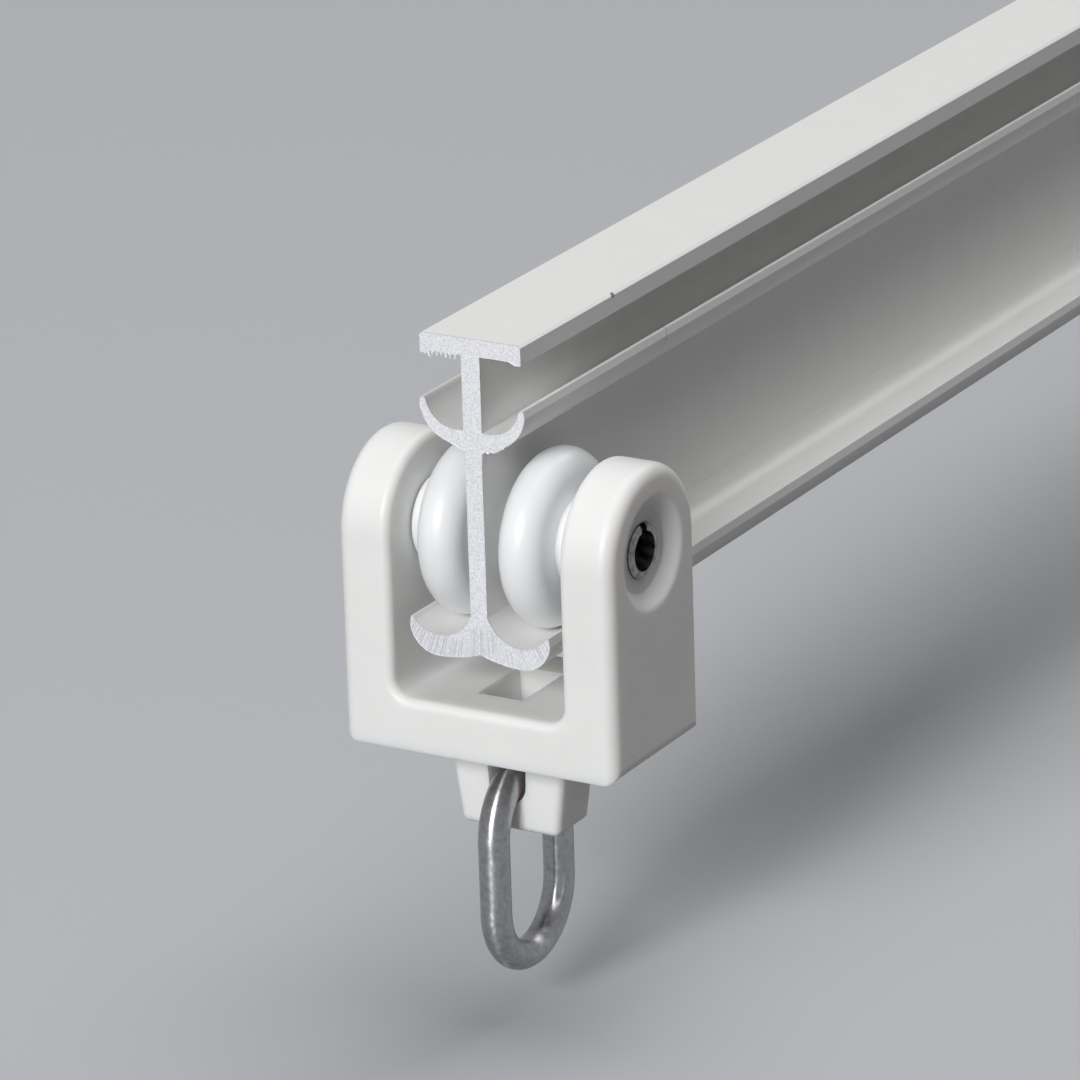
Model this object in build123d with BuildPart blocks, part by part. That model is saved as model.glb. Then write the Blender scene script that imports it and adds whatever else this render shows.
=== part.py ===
"""Curtain track with a two-roller carrier straddling it from below and a wire ring in the carrier.

Millimetres. +X runs across the track, +Y along it away from the visible saw cut, +Z up.
The origin is on the middle line of the track's top face, straight above the carrier's axle at rest.
"""
from build123d import *
import os

os.makedirs("parts", exist_ok=True)

# Track, length and place of the saw cut
TRACK_LENGTH = 200.0
CUT_BEFORE_AXLE = 6.0
TRACK_HEIGHT = 26.2

# Top flange and web
TOP_HALF = 4.4
TOP_THICK = 1.35
TOP_LIP = 0.25
TOP_LIP_WIDTH = 0.5
TOP_EDGE_FILLET = 0.2
WEB_HALF_UPPER = 0.8
WEB_HALF_LOWER = 0.72

# Middle flange, two upturned cups
MID_HALF = 4.6
MID_TIP_Z = -5.2
MID_CUP_Z = -7.45
MID_UNDER_Z = -9.05
MID_TIP_WIDTH = 0.5
MID_TIP_BREAK = 0.1
MID_TIP_DROP_IN = 0.2
MID_TIP_DROP_OUT = 0.6
MID_CUP_START = 1.3
CUP_BEND_IN = 1.4
CUP_BEND_UP = 0.6
SHELL_BEND_IN = 0.55
SHELL_BEND_UP = 0.25
SHELL_FOOT_IN = 2.1
SHELL_FOOT_UP = 0.65

# Bottom flange, two troughs that the rollers run in
BOTTOM_HALF = 6.2
BOTTOM_TIP_WIDTH = 0.45
BOTTOM_TIP_BREAK_IN = 0.15
BOTTOM_TIP_BREAK_OUT = 0.1
BOTTOM_EDGE_HEIGHT = 0.7
TROUGH_X = 3.6
TROUGH_RADIUS = 3.0
TROUGH_DEPTH = 1.2
TROUGH_FOOT = 0.25
SOLE_THICK = 1.7
SOLE_SHIFT = 0.1
ARCH_HEIGHT = 0.65
ROOT_FILLET = 0.5

# Rollers, as large as the channel between the middle and bottom flanges allows
ROLLER_HALF_WIDTH = 1.85
ROLLER_HEADROOM = 1.15
ROLLING_GAP = 0.1
CROWN_DROP = 1.7
HUB_RADIUS = 3.5
HUB_FILLET = 0.3
HUB_WEB_GAP = 0.43
HUB_EAR_GAP = 0.12

# Axle pins, spring tubes with one slit
PIN_RADIUS = 2.2
PIN_WALL = 0.6
PIN_SLIT = 0.8
PIN_CHAMFER = 0.2
PIN_SETBACK = 0.2
PIN_STAND = 0.3
RUNNING_GAP = 0.05

# Yoke
EAR_SETBACK = 0.2
EAR_SIDE_GAP = 1.35
EAR_THICK = 4.55
FLOOR_THICK = 4.2
FLOOR_GAP = 3.8
EAR_FILLET = 1.1
CHANNEL_EDGE_FILLET = 0.7
CHANNEL_CORNER_FILLET = 1.5
RECESS_RIM_RADIUS = 4.5
RECESS_FLOOR_RADIUS = 3.4
RECESS_DEPTH = 1.05
RECESS_FILLET = 0.6

# Boss under the yoke, and the slot that the ring hangs in
BOSS_TOP_HALF_X = 5.25
BOSS_TOP_HALF_Y = 2.75
BOSS_DRAFT_X = 0.95
BOSS_DRAFT_Y = 0.25
BOSS_HEIGHT = 7.2
BOSS_EDGE_FILLET = 0.6
BOSS_ROOT_FILLET = 0.6
SLOT_BRIDGE = 2.3
SLOT_HALF_WIDTH = 1.65
SLOT_DRAFT = 0.35
SLOT_OVERLAP = 0.45

# Wire ring
WIRE_RADIUS = 1.25
RING_BEND_RADIUS = 4.95
RING_STRAIGHT = 5.9
RING_GAP = 0.08

# Heights and places that follow from the sizes
TROUGH_Z = SOLE_THICK - TRACK_HEIGHT
BOTTOM_TIP_Z = TROUGH_Z + TROUGH_DEPTH
ROLLER_RADIUS = (MID_UNDER_Z - TROUGH_Z - ROLLING_GAP - ROLLER_HEADROOM) / 2
AXLE_Z = TROUGH_Z + ROLLING_GAP + ROLLER_RADIUS
AXLE = Axis((0, 0, AXLE_Z), (1, 0, 0))
EAR_INNER_X = BOTTOM_HALF + EAR_SIDE_GAP
YOKE_HALF_WIDTH = EAR_INNER_X + EAR_THICK
YOKE_HALF_DEPTH = ROLLER_RADIUS - EAR_SETBACK
FLOOR_TOP_Z = -TRACK_HEIGHT - FLOOR_GAP
YOKE_BOTTOM_Z = FLOOR_TOP_Z - FLOOR_THICK
BOSS_BOTTOM_Z = YOKE_BOTTOM_Z - BOSS_HEIGHT
SLOT_BOTTOM_Z = BOSS_BOTTOM_Z + SLOT_BRIDGE
ROLLER_IN = TROUGH_X - ROLLER_HALF_WIDTH
ROLLER_OUT = TROUGH_X + ROLLER_HALF_WIDTH
HUB_IN = WEB_HALF_LOWER + HUB_WEB_GAP
HUB_OUT = EAR_INNER_X - HUB_EAR_GAP
FACE_RADIUS = ROLLER_RADIUS - CROWN_DROP
BORE_RADIUS = PIN_RADIUS + RUNNING_GAP
RECESS_FLOOR_X = YOKE_HALF_WIDTH - RECESS_DEPTH

# The ring's upper bend rests on the slot's two lower rims, at the boss's front and back faces
RING_INNER = RING_BEND_RADIUS - WIRE_RADIUS
BRIDGE_HALF_Y = BOSS_TOP_HALF_Y - BOSS_DRAFT_Y * (YOKE_BOTTOM_Z - SLOT_BOTTOM_Z) / BOSS_HEIGHT
RING_ARC_Z = SLOT_BOTTOM_Z + RING_GAP - (RING_INNER**2 - BRIDGE_HALF_Y**2) ** 0.5

# Track: one extruded bar, its section drawn as the right half and mirrored
TROUGH_CENTRE_Z = TROUGH_Z + TROUGH_RADIUS
TROUGH_IN_X = WEB_HALF_LOWER + TROUGH_FOOT
TROUGH_IN_Z = TROUGH_CENTRE_Z - (TROUGH_RADIUS**2 - (TROUGH_X - TROUGH_IN_X) ** 2) ** 0.5
TROUGH_OUT_X = BOTTOM_HALF - BOTTOM_TIP_WIDTH
TROUGH_OUT_Z = TROUGH_CENTRE_Z - (TROUGH_RADIUS**2 - (TROUGH_OUT_X - TROUGH_X) ** 2) ** 0.5
LIP_Z = -TOP_THICK - TOP_LIP
CUP_OUT = (MID_HALF - MID_TIP_WIDTH, MID_TIP_Z - MID_TIP_DROP_IN)
CUP_MID = (MID_HALF - CUP_BEND_IN, MID_CUP_Z + CUP_BEND_UP)
SHELL_OUT = (MID_HALF, MID_TIP_Z - MID_TIP_DROP_OUT)
SHELL_MID = (MID_HALF - SHELL_BEND_IN, MID_CUP_Z + SHELL_BEND_UP)
SHELL_IN = (MID_HALF - SHELL_FOOT_IN, MID_UNDER_Z + SHELL_FOOT_UP)
SOLE_OUT = (BOTTOM_HALF, BOTTOM_TIP_Z - BOTTOM_EDGE_HEIGHT)
SOLE_LOW = (TROUGH_X + SOLE_SHIFT, -TRACK_HEIGHT)
ARCH_TOP = (0, -TRACK_HEIGHT + ARCH_HEIGHT)

with BuildPart() as track:
    with BuildSketch(Plane.XZ.offset(CUT_BEFORE_AXLE)) as section:
        with BuildLine():
            Polyline(
                (0, 0),
                (TOP_HALF - TOP_EDGE_FILLET, 0),
                (TOP_HALF, -TOP_EDGE_FILLET),
                (TOP_HALF, LIP_Z),
                (TOP_HALF - TOP_LIP_WIDTH, LIP_Z),
                (TOP_HALF - 2 * TOP_LIP_WIDTH, -TOP_THICK),
                (WEB_HALF_UPPER, -TOP_THICK),
                (WEB_HALF_UPPER, MID_CUP_Z),
                (MID_CUP_START, MID_CUP_Z),
            )
            ThreePointArc((MID_CUP_START, MID_CUP_Z), CUP_MID, CUP_OUT)
            Polyline(
                CUP_OUT,
                (CUP_OUT[0] + MID_TIP_BREAK, MID_TIP_Z),
                (MID_HALF - MID_TIP_BREAK, MID_TIP_Z),
                SHELL_OUT,
            )
            ThreePointArc(SHELL_OUT, SHELL_MID, SHELL_IN)
            Polyline(
                SHELL_IN,
                (WEB_HALF_LOWER, MID_UNDER_Z),
                (WEB_HALF_LOWER, TROUGH_IN_Z + ROOT_FILLET),
                (TROUGH_IN_X, TROUGH_IN_Z),
            )
            ThreePointArc(
                (TROUGH_IN_X, TROUGH_IN_Z), (TROUGH_X, TROUGH_Z), (TROUGH_OUT_X, TROUGH_OUT_Z)
            )
            Polyline(
                (TROUGH_OUT_X, TROUGH_OUT_Z),
                (TROUGH_OUT_X + BOTTOM_TIP_BREAK_IN, BOTTOM_TIP_Z),
                (BOTTOM_HALF - BOTTOM_TIP_BREAK_OUT, BOTTOM_TIP_Z),
                SOLE_OUT,
            )
            TangentArc(SOLE_LOW, SOLE_OUT, tangent=(1, 0))
            TangentArc(SOLE_LOW, ARCH_TOP, tangent=(-1, 0))
            Line(ARCH_TOP, (0, 0))
        make_face()
        mirror(about=Plane.YZ)
    extrude(amount=-TRACK_LENGTH)
track.part.label = "track_profile"
export_step(track.part, "parts/track_profile.step")

# Yoke: two round-topped ears and a floor, with the tapered boss under it, as one moulding
with BuildPart() as yoke:
    with BuildSketch(Plane.YZ.offset(-YOKE_HALF_WIDTH)):
        with Locations((0, AXLE_Z)):
            Circle(YOKE_HALF_DEPTH)
            Rectangle(2 * YOKE_HALF_DEPTH, AXLE_Z - YOKE_BOTTOM_Z, align=(Align.CENTER, Align.MAX))
    extrude(amount=2 * YOKE_HALF_WIDTH)
    sides = yoke.faces().group_by(Axis.X)
    fillet(sides[0].edges() + sides[-1].edges(), EAR_FILLET)
    with BuildSketch(Plane.XZ.offset(YOKE_HALF_DEPTH)) as channel:
        with Locations((0, FLOOR_TOP_Z)):
            Rectangle(2 * EAR_INNER_X, 2 * (AXLE_Z - FLOOR_TOP_Z), align=(Align.CENTER, Align.MIN))
        fillet(channel.vertices().group_by(Axis.Y)[0], CHANNEL_CORNER_FILLET)
    extrude(amount=-2 * YOKE_HALF_DEPTH, mode=Mode.SUBTRACT)
    mouth = yoke.faces().filter_by(Plane.XZ).edges()
    mouth = mouth.filter_by_position(Axis.X, -EAR_INNER_X - 0.01, EAR_INNER_X + 0.01)
    fillet(mouth.filter_by_position(Axis.Z, YOKE_BOTTOM_Z + 0.5, 0), CHANNEL_EDGE_FILLET)

    # Tapered boss
    with BuildSketch(Plane.XY.offset(YOKE_BOTTOM_Z)):
        RectangleRounded(2 * BOSS_TOP_HALF_X, 2 * BOSS_TOP_HALF_Y, BOSS_EDGE_FILLET)
    with BuildSketch(Plane.XY.offset(BOSS_BOTTOM_Z)):
        RectangleRounded(
            2 * (BOSS_TOP_HALF_X - BOSS_DRAFT_X), 2 * (BOSS_TOP_HALF_Y - BOSS_DRAFT_Y), BOSS_EDGE_FILLET
        )
    loft()
    fillet(yoke.faces().sort_by(Axis.Z)[0].edges(), BOSS_EDGE_FILLET)
    root = yoke.edges().filter_by_position(Axis.Z, YOKE_BOTTOM_Z - 0.01, YOKE_BOTTOM_Z + 0.01)
    root = root.filter_by_position(Axis.X, -BOSS_TOP_HALF_X - 0.01, BOSS_TOP_HALF_X + 0.01)
    fillet(root.filter_by_position(Axis.Y, -BOSS_TOP_HALF_Y - 0.01, BOSS_TOP_HALF_Y + 0.01), BOSS_ROOT_FILLET)

    # Window through the floor, running down into the boss as the ring's slot
    with BuildSketch(Plane.XZ.offset(BOSS_TOP_HALF_Y + SLOT_OVERLAP)) as slot:
        with Locations((0, SLOT_BOTTOM_Z + SLOT_HALF_WIDTH)):
            Circle(SLOT_HALF_WIDTH)
        Polygon(
            (-SLOT_HALF_WIDTH, SLOT_BOTTOM_Z + SLOT_HALF_WIDTH),
            (SLOT_HALF_WIDTH, SLOT_BOTTOM_Z + SLOT_HALF_WIDTH),
            (SLOT_HALF_WIDTH + SLOT_DRAFT, FLOOR_TOP_Z),
            (SLOT_HALF_WIDTH + SLOT_DRAFT, FLOOR_TOP_Z + 1),
            (-SLOT_HALF_WIDTH - SLOT_DRAFT, FLOOR_TOP_Z + 1),
            (-SLOT_HALF_WIDTH - SLOT_DRAFT, FLOOR_TOP_Z),
            align=None,
        )
    extrude(amount=-2 * (BOSS_TOP_HALF_Y + SLOT_OVERLAP), mode=Mode.SUBTRACT)

    # Dished recess and axle bore in each ear
    with BuildSketch(Plane.XZ):
        Polygon(
            (RECESS_FLOOR_X, AXLE_Z),
            (RECESS_FLOOR_X, AXLE_Z + RECESS_FLOOR_RADIUS),
            (YOKE_HALF_WIDTH, AXLE_Z + RECESS_RIM_RADIUS),
            (YOKE_HALF_WIDTH + 1, AXLE_Z + RECESS_RIM_RADIUS),
            (YOKE_HALF_WIDTH + 1, AXLE_Z),
            align=None,
        )
        mirror(about=Plane.YZ)
    revolve(axis=AXLE, mode=Mode.SUBTRACT)
    rims = yoke.edges().filter_by(GeomType.CIRCLE).group_by(Axis.X)
    fillet(rims[0] + rims[-1], RECESS_FILLET)
    with BuildSketch(Plane.YZ.offset(-YOKE_HALF_WIDTH)):
        with Locations((0, AXLE_Z)):
            Circle(BORE_RADIUS)
    extrude(amount=2 * YOKE_HALF_WIDTH, mode=Mode.SUBTRACT)
yoke.part.label = "carrier_yoke"
export_step(yoke.part, "parts/carrier_yoke.step")

# Rollers and their axle pins, one of each on either side of the web
for side, name in ((-1, "left"), (1, "right")):
    with BuildPart() as roller:
        with BuildSketch(Plane.XZ):
            with BuildLine():
                ThreePointArc(
                    (side * ROLLER_IN, AXLE_Z + FACE_RADIUS),
                    (side * TROUGH_X, AXLE_Z + ROLLER_RADIUS),
                    (side * ROLLER_OUT, AXLE_Z + FACE_RADIUS),
                )
                Polyline(
                    (side * ROLLER_OUT, AXLE_Z + FACE_RADIUS),
                    (side * ROLLER_OUT, AXLE_Z + HUB_RADIUS),
                    (side * HUB_OUT, AXLE_Z + HUB_RADIUS),
                    (side * HUB_OUT, AXLE_Z + BORE_RADIUS),
                    (side * HUB_IN, AXLE_Z + BORE_RADIUS),
                    (side * HUB_IN, AXLE_Z + HUB_RADIUS),
                    (side * ROLLER_IN, AXLE_Z + HUB_RADIUS),
                    (side * ROLLER_IN, AXLE_Z + FACE_RADIUS),
                )
            make_face()
        revolve(axis=AXLE)
        hub_end = roller.faces().sort_by(Axis.X)[-1 if side > 0 else 0]
        fillet(hub_end.outer_wire().edges(), HUB_FILLET)
    roller.part.label = "roller_" + name
    export_step(roller.part, "parts/roller_" + name + ".step")

    with BuildPart() as pin:
        with BuildSketch(Plane.YZ.offset(side * (HUB_IN + PIN_SETBACK))):
            with Locations((0, AXLE_Z)):
                Circle(PIN_RADIUS)
                Circle(PIN_RADIUS - PIN_WALL, mode=Mode.SUBTRACT)
                Rectangle(PIN_SLIT, 2 * PIN_RADIUS, align=(Align.CENTER, Align.MIN), mode=Mode.SUBTRACT)
        extrude(amount=side * (RECESS_FLOOR_X + PIN_STAND - HUB_IN - PIN_SETBACK))
        pin_end = pin.edges().group_by(Axis.X)[-1 if side > 0 else 0].filter_by(GeomType.CIRCLE)
        chamfer(pin_end.sort_by(SortBy.RADIUS)[-1], PIN_CHAMFER)
    pin.part.label = "axle_pin_" + name
    export_step(pin.part, "parts/axle_pin_" + name + ".step")

# Oval ring of round wire, hanging through the slot
with BuildPart() as ring:
    with BuildLine(Plane.YZ) as bend:
        upper_start = (-RING_BEND_RADIUS, RING_ARC_Z)
        upper_end = (RING_BEND_RADIUS, RING_ARC_Z)
        lower_start = (RING_BEND_RADIUS, RING_ARC_Z - RING_STRAIGHT)
        lower_end = (-RING_BEND_RADIUS, RING_ARC_Z - RING_STRAIGHT)
        ThreePointArc(upper_start, (0, RING_ARC_Z + RING_BEND_RADIUS), upper_end)
        Line(upper_end, lower_start)
        ThreePointArc(lower_start, (0, RING_ARC_Z - RING_STRAIGHT - RING_BEND_RADIUS), lower_end)
        Line(lower_end, upper_start)
    with BuildSketch(Plane((0, -RING_BEND_RADIUS, RING_ARC_Z), z_dir=(0, 0, 1))):
        Circle(WIRE_RADIUS)
    sweep(path=bend.wire())
ring.part.label = "hook_ring"
export_step(ring.part, "parts/hook_ring.step")
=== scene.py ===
"""Looks for a white curtain track with a roller carrier under it: coats, plastics, steel and saw burrs.

Metres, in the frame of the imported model: +X across the track, +Y along it, +Z up.
"""

import bmesh
import bpy
from mathutils import Matrix, Vector, noise


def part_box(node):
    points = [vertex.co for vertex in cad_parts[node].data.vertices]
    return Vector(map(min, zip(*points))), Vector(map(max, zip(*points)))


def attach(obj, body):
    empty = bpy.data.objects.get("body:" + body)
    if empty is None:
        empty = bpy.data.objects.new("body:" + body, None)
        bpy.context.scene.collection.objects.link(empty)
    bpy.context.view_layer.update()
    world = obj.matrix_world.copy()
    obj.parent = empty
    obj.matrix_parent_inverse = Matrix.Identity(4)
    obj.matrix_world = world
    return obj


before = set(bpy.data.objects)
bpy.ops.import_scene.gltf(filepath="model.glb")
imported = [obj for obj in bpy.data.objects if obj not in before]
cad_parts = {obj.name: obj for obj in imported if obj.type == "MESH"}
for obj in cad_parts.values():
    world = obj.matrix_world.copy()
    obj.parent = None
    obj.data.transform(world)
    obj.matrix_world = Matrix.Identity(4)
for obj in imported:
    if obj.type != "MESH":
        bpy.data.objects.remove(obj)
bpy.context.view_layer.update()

MM = 0.001
TRACK_LOW, TRACK_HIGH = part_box("track_profile")
RING_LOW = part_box("hook_ring")[0]

# Camera, as the photograph has it
CAMERA_PLACE = Vector((255.35, -431.8, 162.87)) * MM
CAMERA_RIGHT = Vector((0.8676, 0.4964, -0.0297))
CAMERA_UP = Vector((-0.1444, 0.3087, 0.9401))
CAMERA_LENS = 230.4
CAMERA_SENSOR = 36.0

# Stage
FLOOR_BELOW_RING = 3.8 * MM
FLOOR_HALF = 1.8
FLOOR_GREY = (0.51, 0.52, 0.54, 1)
FLOOR_BOUNCE = (0.13, 0.13, 0.13, 1)
WORLD_FILL = (0.09, 0.09, 0.09, 1)
WORLD_PALE = (0.40, 0.41, 0.42, 1)

# Lamps: name, place, target, size, watts
SOFTBOXES = (
    ("key", (0.07, -1.80, 0.80), (0, 0.02, -0.02), (0.7, 0.7), 33.5),
    ("top", (0.10, 0.30, 1.90), (0, 0.08, 0), (1.4, 1.4), 14.5),
    ("back", (0.30, 1.60, 1.30), (0, 0.05, -0.02), (1.0, 0.8), 8.0),
)

# Wear on the coat: a nick in the top flange and a hair scratch on the cup
NICK_AT = (4.42 * MM, 8.4 * MM, -0.1 * MM)
NICK_RADIUS = 0.42 * MM
SCRATCH_AT = (4.7 * MM, 16.3 * MM, -6.0 * MM)
SCRATCH_REACH = 1.7 * MM
SCRATCH_SLANT = 0.12
SCRATCH_Y = 17.02 * MM
SCRATCH_WIDTH = 0.045 * MM

# Saw cuts: bare metal, with radial strokes in the bottom flange
CUT_Y = TRACK_LOW.y
FAR_CUT_Y = TRACK_HIGH.y
CHIP_DEPTH = 0.05 * MM
CHIP_LEAST = 0.3 * CHIP_DEPTH
FAN_CENTRE_Z = -14 * MM
FAN_TOP_Z = -23.4 * MM
FAN_LINES = 13

# Burrs, with the ragged places of the near cut in millimetres of X and Z
ON_EDGE = 0.002 * MM
BURR_STEP = 0.06 * MM
BURR_ROOT = 0.03 * MM
BURR_PROUD = 0.04 * MM
BURR_PROUD_MOST = 1.6
BURR_SPREAD = 0.05 * MM
TEETH = ((-4.0, -1.2), (-1.7, -1.2))
TEETH_HEIGHT = 9.0
TOOTH_PITCH = 0.40
LUMPS = ((0.7, 2.7), (-9.6, -7.9))
LUMPS_HEIGHT = 11.0
RAGGED_WEB = ((0.6, 1.0), (-23.5, -9.5))
RAGGED_WEB_HEIGHT = 1.4


class Nodes:
    """A small helper that adds and links the nodes of one material."""

    def __init__(self, name):
        self.material = bpy.data.materials.new(name)
        self.material.use_nodes = True
        self.tree = self.material.node_tree
        self.shader = self.tree.nodes["Principled BSDF"]
        self.place = self.add("ShaderNodeTexCoord").outputs["Object"]

    def add(self, kind, **settings):
        node = self.tree.nodes.new(kind)
        for name, value in settings.items():
            setattr(node, name, value)
        return node

    def feed(self, socket, value):
        if isinstance(value, bpy.types.NodeSocket):
            self.tree.links.new(value, socket)
        else:
            socket.default_value = value

    def maths(self, operation, first, second=0.0, clamp=False):
        node = self.add("ShaderNodeMath", operation=operation, use_clamp=clamp)
        self.feed(node.inputs[0], first)
        self.feed(node.inputs[1], second)
        return node.outputs[0]

    def stretched(self, scale):
        node = self.add("ShaderNodeMapping")
        self.feed(node.inputs["Vector"], self.place)
        node.inputs["Scale"].default_value = scale
        return node.outputs["Vector"]

    def noise(self, scale, detail=3.0, roughness=0.5, vector=None):
        node = self.add("ShaderNodeTexNoise")
        self.feed(node.inputs["Vector"], vector or self.place)
        node.inputs["Scale"].default_value = scale
        node.inputs["Detail"].default_value = detail
        node.inputs["Roughness"].default_value = roughness
        return node.outputs["Fac"]

    def ramp(self, factor, low, high, low_at=0.0, high_at=1.0):
        node = self.add("ShaderNodeValToRGB")
        self.feed(node.inputs["Fac"], factor)
        ends = node.color_ramp.elements
        ends[0].position, ends[1].position = low_at, high_at
        ends[0].color, ends[1].color = low, high
        return node.outputs["Color"]

    def span(self, factor, low, high, low_at=0.0, high_at=1.0):
        node = self.add("ShaderNodeMapRange")
        self.feed(node.inputs["Value"], factor)
        node.inputs["From Min"].default_value = low_at
        node.inputs["From Max"].default_value = high_at
        node.inputs["To Min"].default_value = low
        node.inputs["To Max"].default_value = high
        return node.outputs["Result"]

    def mix(self, factor, first, second):
        node = self.add("ShaderNodeMix", data_type="RGBA")
        self.feed(node.inputs["Factor"], factor)
        self.feed(node.inputs[6], first)
        self.feed(node.inputs[7], second)
        return node.outputs[2]

    def blend(self, factor, first, second):
        node = self.add("ShaderNodeMix", data_type="FLOAT")
        self.feed(node.inputs["Factor"], factor)
        self.feed(node.inputs[2], first)
        self.feed(node.inputs[3], second)
        return node.outputs[0]

    def near(self, centre, radius):
        """One at the centre, falling off to nothing at a ragged radius."""
        node = self.add("ShaderNodeVectorMath", operation="DISTANCE")
        self.feed(node.inputs[0], self.place)
        node.inputs[1].default_value = centre
        ragged = self.maths("MULTIPLY", self.noise(4200, 2), radius)
        reach = self.maths("ADD", node.outputs["Value"], ragged)
        return self.span(reach, 1.0, 0.0, radius, 1.25 * radius)

    def bump(self, height, strength, distance):
        node = self.add("ShaderNodeBump")
        self.feed(node.inputs["Height"], height)
        node.inputs["Strength"].default_value = strength
        node.inputs["Distance"].default_value = distance
        self.feed(self.shader.inputs["Normal"], node.outputs["Normal"])

    def set(self, **sockets):
        for name, value in sockets.items():
            self.feed(self.shader.inputs[name.replace("_", " ")], value)


def track_coat():
    """White powder coat with orange peel, and bare sawn aluminium wherever the saw has been."""
    m = Nodes("track_coat")
    along = m.add("ShaderNodeSeparateXYZ")
    m.feed(along.inputs[0], m.place)
    ragged = m.maths("MULTIPLY", m.noise(5200, 4, 0.7), CHIP_DEPTH)
    near_line = m.maths("ADD", ragged, CUT_Y - CHIP_LEAST)
    far_line = m.maths("SUBTRACT", FAR_CUT_Y + CHIP_LEAST, ragged)
    near = m.maths("LESS_THAN", along.outputs["Y"], near_line)
    far = m.maths("GREATER_THAN", along.outputs["Y"], far_line)
    bare = m.maths("MAXIMUM", near, far)

    drift = m.noise(1.0, 3, 0.5, m.stretched((200, 260, 50)))
    coat = m.ramp(drift, (0.885, 0.88, 0.868, 1), (0.90, 0.896, 0.884, 1), 0.3, 0.7)
    dust = m.span(m.noise(2400, 2, 0.8), 0.0, 1.0, 0.70, 0.78)
    coat = m.mix(dust, coat, (0.66, 0.65, 0.63, 1))
    nick = m.near(NICK_AT, NICK_RADIUS)
    coat = m.mix(nick, coat, (0.16, 0.15, 0.15, 1))
    lean = m.maths("MULTIPLY", along.outputs["Z"], SCRATCH_SLANT)
    slant = m.maths("SUBTRACT", along.outputs["Y"], lean)
    off = m.maths("ABSOLUTE", m.maths("SUBTRACT", slant, SCRATCH_Y))
    on_line = m.maths("LESS_THAN", off, SCRATCH_WIDTH)
    hair = m.maths("MULTIPLY", on_line, m.near(SCRATCH_AT, SCRATCH_REACH))
    coat = m.mix(m.maths("MULTIPLY", hair, 0.8, clamp=True), coat, (0.35, 0.34, 0.33, 1))
    grain = m.noise(5200, 4, 0.8)
    sawn = m.noise(1.0, 4, 0.7, m.stretched((1500, 1500, 7000)))
    below_centre = m.maths("SUBTRACT", FAN_CENTRE_Z, along.outputs["Z"])
    turn = m.maths("ARCTAN2", along.outputs["X"], below_centre)
    fan = m.add("ShaderNodeTexNoise", noise_dimensions="1D")
    m.feed(fan.inputs["W"], m.maths("MULTIPLY", turn, FAN_LINES))
    low = m.maths("LESS_THAN", along.outputs["Z"], FAN_TOP_Z)
    patches = m.maths("MULTIPLY", low, m.span(m.noise(420, 1), 0.0, 1.0, 0.40, 0.58))
    lines = m.maths("MULTIPLY", patches, m.span(fan.outputs["Fac"], 0.0, 0.8, 0.45, 0.6))
    metal = m.ramp(grain, (0.60, 0.61, 0.66, 1), (0.92, 0.93, 0.95, 1), 0.36, 0.58)
    metal = m.mix(m.span(sawn, 0.0, 0.75, 0.35, 0.75), metal, (0.84, 0.85, 0.885, 1))
    metal = m.mix(lines, metal, (0.58, 0.59, 0.65, 1))

    m.set(Base_Color=m.mix(bare, coat, metal))
    m.set(Metallic=m.maths("MULTIPLY", bare, 0.35))
    m.set(Roughness=m.blend(bare, m.span(drift, 0.32, 0.34, 0.3, 0.7), m.span(grain, 0.42, 0.7)))
    peel = m.maths("MULTIPLY", m.noise(2600, 2, 0.4), 0.08)
    tooth = m.maths("ADD", grain, m.maths("SUBTRACT", sawn, lines))
    m.bump(m.blend(bare, peel, tooth), 0.45, 0.05 * MM)
    return m.material


def yoke_plastic():
    """White moulded acetal: satin, very slightly see-into, with a fine mould texture."""
    m = Nodes("yoke_plastic")
    cloud = m.noise(170, 3)
    m.set(Base_Color=m.ramp(cloud, (0.82, 0.82, 0.81, 1), (0.85, 0.85, 0.84, 1), 0.3, 0.7))
    m.set(Roughness=m.span(m.noise(900, 3), 0.38, 0.52))
    m.set(Subsurface_Weight=0.6, Subsurface_Scale=1.7 * MM)
    m.shader.inputs["Subsurface Radius"].default_value = (1.0, 0.74, 0.58)
    m.bump(m.noise(3200, 3, 0.6), 0.22, 0.03 * MM)
    return m.material


def roller_plastic():
    """Harder, glossier and more see-into than the yoke, with faint rings worn in by the troughs."""
    m = Nodes("roller_plastic")
    lines = m.noise(1.0, 2, 0.5, m.stretched((3200, 40, 40)))
    m.set(Base_Color=m.ramp(m.noise(220, 3), (0.85, 0.87, 0.885, 1), (0.89, 0.905, 0.92, 1), 0.3, 0.7))
    m.set(Roughness=m.span(lines, 0.30, 0.38, 0.3, 0.7))
    m.set(Subsurface_Weight=0.65, Subsurface_Scale=2.0 * MM)
    m.shader.inputs["Subsurface Radius"].default_value = (0.85, 0.95, 1.0)
    m.bump(lines, 0.04, 0.02 * MM)
    return m.material


def pin_steel():
    """Plated spring steel, dull inside the tube, with turned lines round the end."""
    m = Nodes("pin_steel")
    stain = m.noise(1500, 4, 0.65)
    m.set(Base_Color=m.ramp(stain, (0.12, 0.11, 0.11, 1), (0.42, 0.41, 0.42, 1), 0.3, 0.7))
    m.set(Metallic=1.0, Roughness=m.span(stain, 0.2, 0.42, 0.3, 0.7))
    m.bump(m.noise(1.0, 3, 0.6, m.stretched((500, 6000, 6000))), 0.25, 0.03 * MM)
    return m.material


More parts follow.
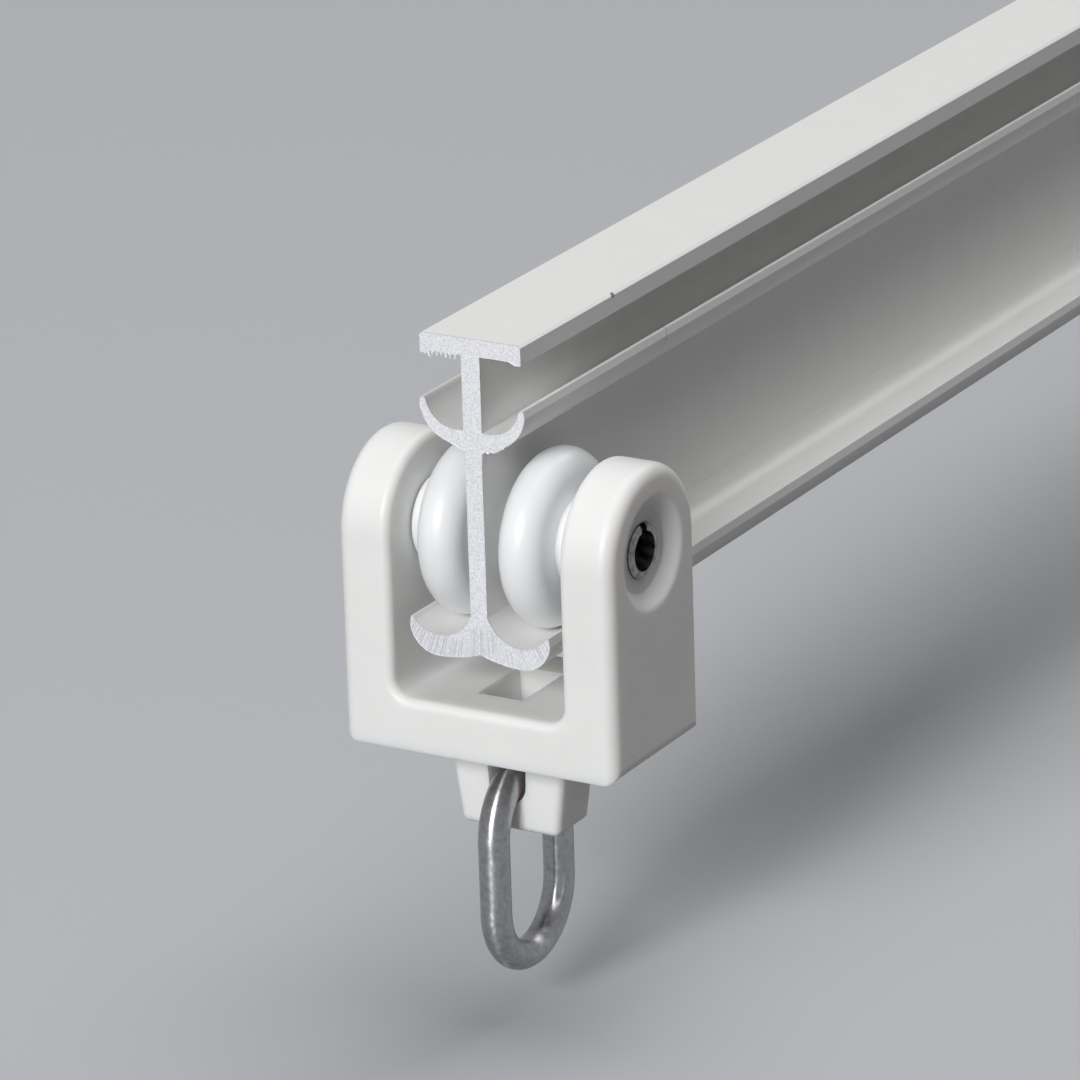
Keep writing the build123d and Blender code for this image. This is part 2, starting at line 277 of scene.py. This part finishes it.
def ring_chrome():
    """Bright plated wire with long fine scratches and scuffs."""
    m = Nodes("ring_chrome")
    scratches = m.noise(1.0, 4, 0.7, m.stretched((9000, 9000, 500)))
    scuffs = m.noise(1900, 4, 0.7)
    worn = m.span(scuffs, 0.0, 1.0, 0.52, 0.62)
    m.set(Base_Color=m.ramp(scuffs, (0.33, 0.33, 0.34, 1), (0.50, 0.50, 0.51, 1), 0.35, 0.7))
    m.set(Metallic=1.0, Anisotropic=0.84, Anisotropic_Rotation=0.25)
    drawn = m.span(scratches, 0.30, 0.36, 0.35, 0.65)
    m.set(Roughness=m.maths("ADD", drawn, m.maths("MULTIPLY", worn, 0.08)))
    round_axis = m.add("ShaderNodeTangent", direction_type="RADIAL", axis="Z")
    m.feed(m.shader.inputs["Tangent"], round_axis.outputs["Tangent"])
    m.bump(m.maths("ADD", m.maths("MULTIPLY", scratches, 0.35), scuffs), 0.12, 0.03 * MM)
    return m.material


def floor_paint():
    """Pale where it is seen or mirrored, and darker for the light that it throws back up."""
    m = Nodes("floor_paint")
    ray = m.add("ShaderNodeLightPath").outputs
    mirrored = m.maths("MAXIMUM", ray["Is Glossy Ray"], ray["Is Transmission Ray"])
    seen = m.maths("MAXIMUM", ray["Is Camera Ray"], mirrored)
    pale = m.ramp(m.noise(3, 2), (0.49, 0.50, 0.52, 1), FLOOR_GREY, 0.3, 0.7)
    m.set(Base_Color=m.mix(seen, FLOOR_BOUNCE, pale), Roughness=0.75)
    return m.material


def dress(node, material):
    """Gives a CAD node its material."""
    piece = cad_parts[node]
    piece.data.materials.clear()
    piece.data.materials.append(material)


def cut_edges(y):
    """Edges of the track's section at a saw cut, each with the direction out of the section."""
    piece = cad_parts["track_profile"]
    mesh = bmesh.new()
    mesh.from_mesh(piece.data)
    bmesh.ops.remove_doubles(mesh, verts=mesh.verts, dist=0.5 * ON_EDGE)
    found = []
    for edge in mesh.edges:
        a, b = (v.co.copy() for v in edge.verts)
        if abs(a.y - y) > ON_EDGE or abs(b.y - y) > ON_EDGE:
            continue
        sides = [f for f in edge.link_faces if abs(f.normal.y) < 0.5]
        if len(sides) == 1:
            found.append((a, b, sides[0].normal.copy()))
    mesh.free()
    return found


def inside(x, z, place):
    """Whether X and Z lie in a pair of spans."""
    (x_low, x_high), (z_low, z_high) = place
    return x_low < x < x_high and z_low < z < z_high


def burr_height(point, y):
    """How far the burr stands out at a point of the cut's edge: a fine fringe, with ragged places."""
    lumps = noise.noise(point / (0.4 * MM) + Vector((2, 8, 1))) * 0.5 + 0.5
    fringe = noise.noise(point / (0.25 * MM)) * 0.5 + 0.5
    fine = noise.noise(point / (0.09 * MM) + Vector((7, 3, 5))) * 0.5 + 0.5
    height = 0.25 + 0.9 * fringe * fine
    x = point.x / MM
    z = point.z / MM
    if y > 0:
        return height
    if inside(x, z, TEETH):
        tooth = abs((x / TOOTH_PITCH + 0.5 * lumps) % 1.0 - 0.5) * 2.0
        height += (TEETH_HEIGHT + TEETH_HEIGHT * fringe) * max(0.0, tooth - 0.25)
    if inside(x, z, LUMPS):
        height += LUMPS_HEIGHT * max(0.0, lumps - 0.25) * (0.6 + 0.4 * fringe)
    if inside(x, z, RAGGED_WEB):
        height += RAGGED_WEB_HEIGHT * max(0.0, fine + fringe - 0.85)
    return height


def burrs(name, y, outward, proud):
    """A ragged ribbon of metal along the saw cut's edge, thickest at its root."""
    mesh = bmesh.new()
    root_in = Vector((0, -outward * BURR_ROOT, 0))
    for a, b, out in cut_edges(y):
        count = max(1, round((b - a).length / BURR_STEP))
        rows = []
        for i in range(count + 1):
            point = a.lerp(b, i / count)
            height = burr_height(point, y)
            lift = proud * min(height, BURR_PROUD_MOST)
            tip = out * BURR_SPREAD * height + Vector((0, lift, 0))
            rows.append(
                (
                    mesh.verts.new(point - out * BURR_ROOT - root_in * 0.1),
                    mesh.verts.new(point + tip),
                    mesh.verts.new(point + root_in * 2),
                )
            )
        for first, second in zip(rows, rows[1:]):
            for i, j in ((0, 1), (1, 2)):
                mesh.faces.new((first[i], first[j], second[j], second[i]))
    bmesh.ops.remove_doubles(mesh, verts=mesh.verts, dist=ON_EDGE)
    bmesh.ops.recalc_face_normals(mesh, faces=mesh.faces)
    data = bpy.data.meshes.new(name)
    mesh.to_mesh(data)
    mesh.free()
    piece = bpy.data.objects.new(name, data)
    bpy.context.scene.collection.objects.link(piece)
    data.materials.append(burr_metal())
    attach(piece, "track")


def burr_metal():
    """Bare aluminium, torn by the saw."""
    m = Nodes("burr_metal")
    grain = m.noise(8000, 3, 0.7)
    m.set(Base_Color=m.ramp(grain, (0.55, 0.55, 0.60, 1), (0.86, 0.86, 0.88, 1), 0.35, 0.6))
    m.set(Metallic=0.3, Roughness=m.span(grain, 0.35, 0.6))
    return m.material


def add_floor():
    """A plain floor under the ring, as stage and not as part of the object."""
    height = RING_LOW.z - FLOOR_BELOW_RING
    signs = ((-1, -1), (1, -1), (1, 1), (-1, 1))
    corners = [(x * FLOOR_HALF, y * FLOOR_HALF, height) for x, y in signs]
    data = bpy.data.meshes.new("floor")
    data.from_pydata(corners, [], [(0, 1, 2, 3)])
    data.materials.append(floor_paint())
    floor = bpy.data.objects.new("floor", data)
    bpy.context.scene.collection.objects.link(floor)


def add_camera():
    """The photograph's place, direction and lens."""
    data = bpy.data.cameras.new("camera")
    data.lens = CAMERA_LENS
    data.sensor_width = CAMERA_SENSOR
    data.clip_start = 0.01
    camera = bpy.data.objects.new("camera", data)
    bpy.context.scene.collection.objects.link(camera)
    right = CAMERA_RIGHT.normalized()
    back = right.cross(CAMERA_UP).normalized()
    up = back.cross(right)
    turn = Matrix((right, up, back)).transposed().to_4x4()
    camera.matrix_world = Matrix.Translation(CAMERA_PLACE) @ turn
    bpy.context.scene.camera = camera


def add_softbox(name, place, target, size, watts):
    """A rectangular lamp turned to its target."""
    data = bpy.data.lights.new(name, "AREA")
    data.shape = "RECTANGLE"
    data.size, data.size_y = size
    data.energy = watts
    lamp = bpy.data.objects.new(name, data)
    bpy.context.scene.collection.objects.link(lamp)
    lamp.location = place
    lamp.rotation_euler = (Vector(target) - Vector(place)).to_track_quat("-Z", "Y").to_euler()


def add_light():
    """Weak grey fill, shown paler where the background is seen or mirrored, and three softboxes."""
    world = bpy.data.worlds.new("studio")
    world.use_nodes = True
    tree = world.node_tree
    ray = tree.nodes.new("ShaderNodeLightPath")
    seen = tree.nodes.new("ShaderNodeMath")
    seen.operation = "MAXIMUM"
    tree.links.new(ray.outputs["Is Camera Ray"], seen.inputs[0])
    tree.links.new(ray.outputs["Is Glossy Ray"], seen.inputs[1])
    colour = tree.nodes.new("ShaderNodeMix")
    colour.data_type = "RGBA"
    tree.links.new(seen.outputs[0], colour.inputs["Factor"])
    colour.inputs[6].default_value = WORLD_FILL
    colour.inputs[7].default_value = WORLD_PALE
    tree.links.new(colour.outputs[2], tree.nodes["Background"].inputs["Color"])
    bpy.context.scene.world = world
    for box in SOFTBOXES:
        add_softbox(*box)


dress("track_profile", track_coat())
dress("carrier_yoke", yoke_plastic())
rollers = roller_plastic()
dress("roller_left", rollers)
dress("roller_right", rollers)
pins = pin_steel()
dress("axle_pin_left", pins)
dress("axle_pin_right", pins)
dress("hook_ring", ring_chrome())
burrs("saw_burr_near", CUT_Y, -1, -BURR_PROUD)
burrs("saw_burr_far", FAR_CUT_Y, 1, 0)
add_floor()
add_camera()
add_light()
bpy.context.scene.view_settings.view_transform = "Standard"
